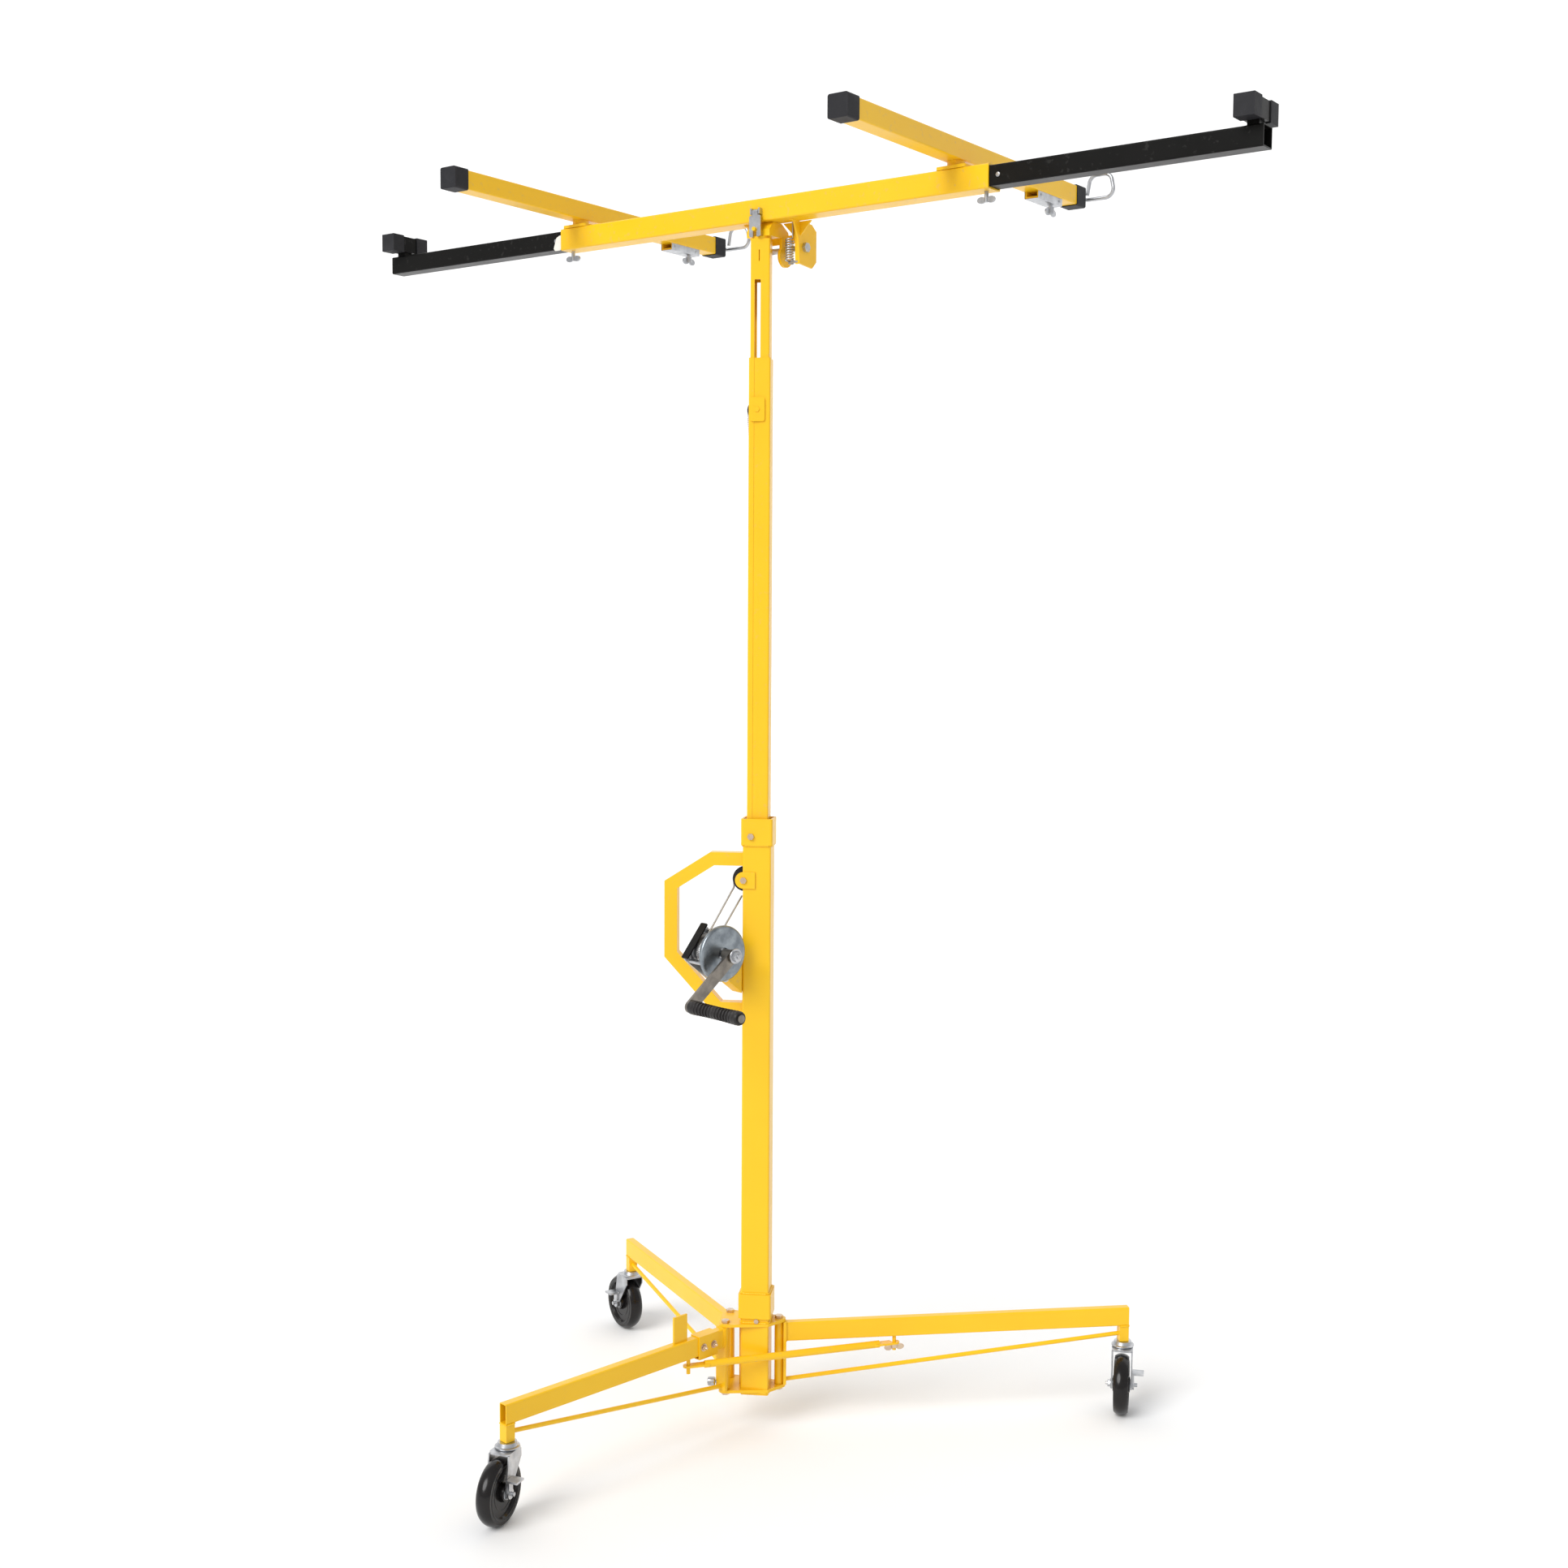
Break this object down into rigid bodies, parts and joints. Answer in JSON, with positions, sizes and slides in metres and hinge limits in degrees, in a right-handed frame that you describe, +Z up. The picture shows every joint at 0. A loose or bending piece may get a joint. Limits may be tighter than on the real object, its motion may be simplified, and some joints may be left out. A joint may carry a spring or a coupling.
{
  "type": "drywall lift",
  "caption": "Tripod drywall lift on braked casters: a telescoping winch mast carries a swivelling, tilting cradle with folding crossarms and slide-out outriggers.",
  "frame": {"origin": "on the floor, on the axis of the mast", "axes": "+Z up; +X toward the single long leg; -Y toward the side where the crank points"},
  "size_m": [1.8905, 1.2571, 2.606],
  "materials": {
    "yellow_paint": "gloss powder coat",
    "black_paint": "gloss black paint",
    "zinc": "zinc plated",
    "yellow_zinc": "yellow passivated zinc",
    "cable_steel": "stranded wire rope",
    "cap_rubber": "moulded rubber",
    "grip_rubber": "ribbed rubber",
    "wheel_polymer": "polished tread",
    "slider": "nylon"
  },
  "bodies": {
    "mast": {"outer_mast": "yellow_paint", "hub_plates": "yellow_paint", "handle_frame": "yellow_paint", "lower_sheave_bracket": "yellow_paint", "winch_bracket": "yellow_paint", "winch_frame": "zinc", "winch_guard": "black_paint", "winch_cover": "zinc", "winch_pins": "zinc", "mast_bolts": "yellow_zinc", "mast_guide_pads": "slider", "winch_cable": "cable_steel"},
    "middle_section": {"middle_mast": "yellow_paint", "upper_sheave_bracket": "yellow_paint", "middle_foot_pads": "slider", "mast_cable": "cable_steel"},
    "inner_section": {"inner_mast": "yellow_paint"},
    "lower_sheave": {"lower_sheave": "wheel_polymer"},
    "upper_sheave": {"upper_sheave": "wheel_polymer"},
    "foot_sheave": {"foot_sheave": "wheel_polymer"},
    "head": {"swivel_head": "yellow_paint"},
    "cradle": {"main_beam": "yellow_paint", "tilt_bracket": "yellow_paint", "tilt_bolt": "zinc", "tilt_spring": "zinc", "cradle_bolts": "zinc"},
    "latch": {"tilt_latch": "zinc"},
    "winch_drive": {"drive_shaft": "zinc", "cable_drum": "zinc", "cable_wraps": "cable_steel", "brake_ratchet": "zinc", "crank_arm": "zinc"},
    "grip": {"crank_grip": "grip_rubber"},
    "pawl": {"ratchet_pawl": "zinc"},
    "leg_brace": {"leg_brace": "yellow_paint"},
    "brace_nut": {"brace_nut": "yellow_zinc"},
    "arm_left": {"crossarm_left": "yellow_paint", "crossarm_caps_left": "cap_rubber"},
    "hook_left": {"panel_hook_left": "zinc"},
    "hook_screw_left": {"hook_screw_left": "zinc"},
    "outrigger_left": {"outrigger_left": "black_paint", "outrigger_pads_left": "cap_rubber"},
    "arm_right": {"crossarm_right": "yellow_paint", "crossarm_caps_right": "cap_rubber"},
    "hook_right": {"panel_hook_right": "zinc"},
    "hook_screw_right": {"hook_screw_right": "zinc"},
    "outrigger_right": {"outrigger_right": "black_paint", "outrigger_pads_right": "cap_rubber"},
    "leg_front": {"leg_front": "yellow_paint"},
    "leg_rear": {"leg_rear": "yellow_paint"},
    "leg_right": {"leg_right": "yellow_paint"},
    "caster_front": {"caster_fork_front": "zinc"},
    "wheel_front": {"caster_wheel_front": "wheel_polymer"},
    "brake_front": {"caster_brake_front": "zinc"},
    "caster_rear": {"caster_fork_rear": "zinc"},
    "wheel_rear": {"caster_wheel_rear": "wheel_polymer"},
    "brake_rear": {"caster_brake_rear": "zinc"},
    "caster_right": {"caster_fork_right": "zinc"},
    "wheel_right": {"caster_wheel_right": "wheel_polymer"},
    "brake_right": {"caster_brake_right": "zinc"}
  },
  "joints": [
    {"name": "middle_lift", "type": "slide", "parent": "mast", "child": "middle_section", "axis": [0, 0, 1], "range_m": [-0.79, 0]},
    {"name": "inner_lift", "type": "slide", "parent": "middle_section", "child": "inner_section", "axis": [0, 0, 1], "range_m": [-0.16, 0.77]},
    {"name": "lower_sheave_spin", "type": "hinge", "parent": "mast", "child": "lower_sheave", "pos_m": [-0.027, 0, 1.155], "axis": [0, 1, 0], "continuous": true},
    {"name": "upper_sheave_spin", "type": "hinge", "parent": "middle_section", "child": "upper_sheave", "pos_m": [-0.005, 0, 2.104], "axis": [0, 1, 0], "continuous": true},
    {"name": "foot_sheave_spin", "type": "hinge", "parent": "middle_section", "child": "foot_sheave", "pos_m": [-0.011, 0.004, 1.048], "axis": [0.4472, 0.8944, 0], "continuous": true},
    {"name": "head_swivel", "type": "hinge", "parent": "inner_section", "child": "head", "pos_m": [0, 0, 2.42], "axis": [0, 0, 1], "continuous": true},
    {"name": "cradle_tilt", "type": "hinge", "parent": "head", "child": "cradle", "pos_m": [0.0232, 0.04202, 2.425], "axis": [0.8755, -0.4833, 0], "range_deg": [-65, 0]},
    {"name": "latch_flip", "type": "hinge", "parent": "cradle", "child": "latch", "pos_m": [-0.00942, -0.01707, 2.493], "axis": [-0.8755, 0.4833, 0], "range_deg": [0, 80]},
    {"name": "arm_fold_left", "type": "hinge", "parent": "cradle", "child": "arm_left", "pos_m": [-0.42511, 0.24381, 2.535], "axis": [0, 0, 1], "range_deg": [0, 60]},
    {"name": "hook_fold_left", "type": "hinge", "parent": "arm_left", "child": "hook_left", "pos_m": [-0.19217, 0.66579, 2.554], "axis": [0.4833, 0.8755, 0], "range_deg": [0, 90]},
    {"name": "hook_screw_turn_left", "type": "hinge", "parent": "arm_left", "child": "hook_screw_left", "pos_m": [-0.2463, 0.56773, 2.535], "axis": [0, 0, 1], "continuous": true},
    {"name": "outrigger_slide_left", "type": "slide", "parent": "cradle", "child": "outrigger_left", "axis": [0.8755, -0.4833, 0], "range_m": [0, 0.38]},
    {"name": "arm_fold_right", "type": "hinge", "parent": "cradle", "child": "arm_right", "pos_m": [0.39345, -0.20806, 2.535], "axis": [0, 0, 1], "range_deg": [-60, 0]},
    {"name": "hook_fold_right", "type": "hinge", "parent": "arm_right", "child": "hook_right", "pos_m": [0.62639, 0.21392, 2.554], "axis": [0.4833, 0.8755, 0], "range_deg": [0, 90]},
    {"name": "hook_screw_turn_right", "type": "hinge", "parent": "arm_right", "child": "hook_screw_right", "pos_m": [0.57226, 0.11586, 2.535], "axis": [0, 0, 1], "continuous": true},
    {"name": "outrigger_slide_right", "type": "slide", "parent": "cradle", "child": "outrigger_right", "axis": [-0.8755, 0.4833, 0], "range_m": [0, 0.38]},
    {"name": "crank_turn", "type": "hinge", "parent": "mast", "child": "winch_drive", "pos_m": [-0.058, -0.096, 1.014], "axis": [0.7431, -0.6691, 0], "continuous": true},
    {"name": "grip_spin", "type": "hinge", "parent": "winch_drive", "child": "grip", "pos_m": [-0.05545, -0.24261, 0.92401], "axis": [0.7431, -0.6691, 0], "continuous": true},
    {"name": "pawl_swing", "type": "hinge", "parent": "mast", "child": "pawl", "pos_m": [-0.13471, -0.07359, 1.00048], "axis": [0.7431, -0.6691, 0], "range_deg": [-20, 8], "stiffness_Nm_per_rad": 0.1},
    {"name": "leg_fold_front", "type": "hinge", "parent": "mast", "child": "leg_front", "pos_m": [-0.06, -0.032, 0.2], "axis": [0, 0, 1], "range_deg": [-40, 0]},
    {"name": "leg_fold_rear", "type": "hinge", "parent": "mast", "child": "leg_rear", "pos_m": [-0.06, 0.032, 0.2], "axis": [0, 0, 1], "range_deg": [0, 44]},
    {"name": "leg_fold_right", "type": "hinge", "parent": "mast", "child": "leg_right", "pos_m": [0.046, 0.012, 0.2], "axis": [0, 0, 1], "range_deg": [0, 75]},
    {"name": "caster_swivel_front", "type": "hinge", "parent": "leg_front", "child": "caster_front", "pos_m": [-0.40395, -0.48024, 0.15], "axis": [0, 0, 1], "continuous": true},
    {"name": "wheel_roll_front", "type": "hinge", "parent": "caster_front", "child": "wheel_front", "pos_m": [-0.41249, -0.51212, 0.0635], "axis": [0.9659, -0.2588, 0], "continuous": true},
    {"name": "brake_press_front", "type": "hinge", "parent": "caster_front", "child": "brake_front", "pos_m": [-0.41249, -0.51212, 0.0635], "axis": [0.9659, -0.2588, 0], "range_deg": [0, 20]},
    {"name": "caster_swivel_rear", "type": "hinge", "parent": "leg_rear", "child": "caster_rear", "pos_m": [-0.36772, 0.50585, 0.15], "axis": [0, 0, 1], "continuous": true},
    {"name": "wheel_roll_rear", "type": "hinge", "parent": "caster_rear", "child": "wheel_rear", "pos_m": [-0.38893, 0.53113, 0.0635], "axis": [-0.766, -0.6428, 0], "continuous": true},
    {"name": "brake_press_rear", "type": "hinge", "parent": "caster_rear", "child": "brake_rear", "pos_m": [-0.38893, 0.53113, 0.0635], "axis": [-0.766, -0.6428, 0], "range_deg": [0, 20]},
    {"name": "caster_swivel_right", "type": "hinge", "parent": "leg_right", "child": "caster_right", "pos_m": [0.76658, 0.20508, 0.15], "axis": [0, 0, 1], "continuous": true},
    {"name": "wheel_roll_right", "type": "hinge", "parent": "caster_right", "child": "wheel_right", "pos_m": [0.7637, 0.1722, 0.0635], "axis": [0.9962, -0.0872, 0], "continuous": true},
    {"name": "brake_press_right", "type": "hinge", "parent": "caster_right", "child": "brake_right", "pos_m": [0.7637, 0.1722, 0.0635], "axis": [0.9962, -0.0872, 0], "range_deg": [0, 20]},
    {"name": "brace_swing", "type": "hinge", "parent": "leg_front", "child": "leg_brace", "pos_m": [-0.12392, -0.1153, 0.166], "axis": [0, 0, 1], "range_deg": [-140, 0]},
    {"name": "brace_nut_turn", "type": "hinge", "parent": "leg_right", "child": "brace_nut", "pos_m": [0.28362, 0.07567, 0.166], "axis": [0, 0, 1], "continuous": true}
  ]
}
